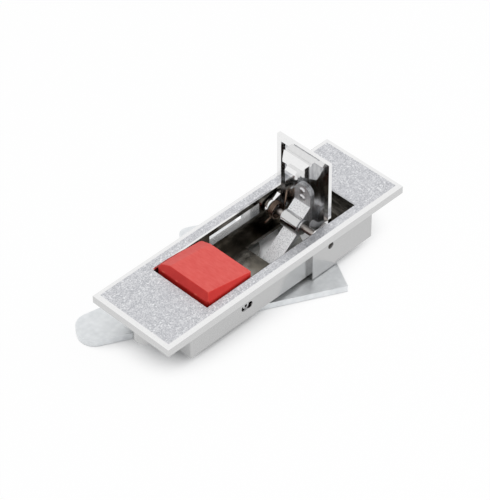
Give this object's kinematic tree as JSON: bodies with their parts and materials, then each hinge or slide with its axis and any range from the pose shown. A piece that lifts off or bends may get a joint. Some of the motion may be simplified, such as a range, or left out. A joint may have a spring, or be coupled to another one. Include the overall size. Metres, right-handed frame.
{
  "type": "pushbutton cabinet lock",
  "caption": "Pushbutton cabinet lock: chromed face plate with a red rocker button, a pop-up flap handle and a swinging T-shaped latch plate behind the panel.",
  "frame": {"origin": "centre of the face plate, on the plane of its underside that rests on the panel", "axes": "+X along the face plate from the button to the flap hinge, +Y across the face plate, +Z out of the panel"},
  "size_m": [0.1366, 0.0706, 0.0503],
  "materials": {
    "casting": "polished, with a satin face",
    "handle": "mirror polished",
    "button": "smooth satin",
    "pin_steel": "drawn",
    "zinc": "zinc plated",
    "spring_wire": "drawn wire"
  },
  "bodies": {
    "body": {"housing": "casting", "button_pin": "pin_steel", "hinge_pin": "pin_steel", "hinge_washers": "zinc", "pivot_rivet": "zinc", "pivot_washer": "zinc"},
    "rocker": {"button": "button", "button_spring": "spring_wire"},
    "handle": {"flap": "handle", "crank": "zinc", "crank_rivets": "zinc", "flap_spring": "spring_wire"},
    "latch": {"latch_plate": "zinc"}
  },
  "joints": [
    {"name": "flap_hinge", "type": "hinge", "parent": "body", "child": "handle", "pos_m": [0.0243, 0, -0.0026], "axis": [0, -1, 0], "range_deg": [0, 90], "stiffness_Nm_per_rad": 0.012, "springref_deg": -28.65},
    {"name": "button_rock", "type": "hinge", "parent": "body", "child": "rocker", "pos_m": [-0.0205, 0, -0.0064], "axis": [0, -1, 0], "range_deg": [0, 5], "stiffness_Nm_per_rad": 0.06, "springref_deg": -8.59},
    {"name": "latch_swing", "type": "hinge", "parent": "body", "child": "latch", "pos_m": [-0.01, 0, -0.0162], "axis": [0, 0, 1], "range_deg": [-45, 0]}
  ],
  "couplings": [
    {"joint": "latch_swing", "follows": "flap_hinge", "ratio": -0.5}
  ]
}
